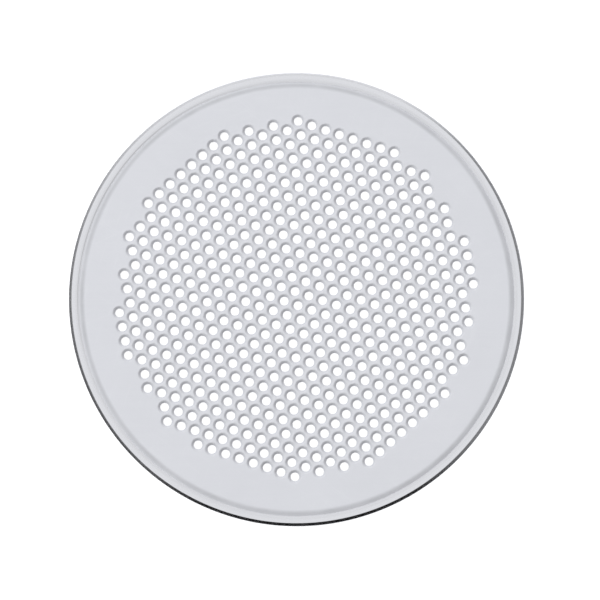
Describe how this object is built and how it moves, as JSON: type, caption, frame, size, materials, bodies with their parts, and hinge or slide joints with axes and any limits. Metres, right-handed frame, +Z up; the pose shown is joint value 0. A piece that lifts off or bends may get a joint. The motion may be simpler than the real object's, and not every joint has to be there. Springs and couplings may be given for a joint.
{
  "type": "pizza screen",
  "caption": "Round perforated aluminium pizza screen: a flat plate full of vent holes gripped in a low rolled rim with a wire core, for baking and carrying a pizza.",
  "frame": {"origin": "on the surface that the screen lies on, under the centre of the plate", "axes": "+Z up out of the baking side, +X to the right and +Y to the top of the picture"},
  "size_m": [0.32, 0.32, 0.0044],
  "materials": {
    "plate_aluminium": "satin, fine even grain, pale grey",
    "rim_aluminium": "smoother satin, almost polished on the rolled edge",
    "wire_steel": "bright drawn wire, hidden in the rolled edge"
  },
  "bodies": {
    "root": {"perforated_plate": "plate_aluminium", "rim_ring": "rim_aluminium", "rim_wire": "wire_steel"}
  },
  "joints": []
}
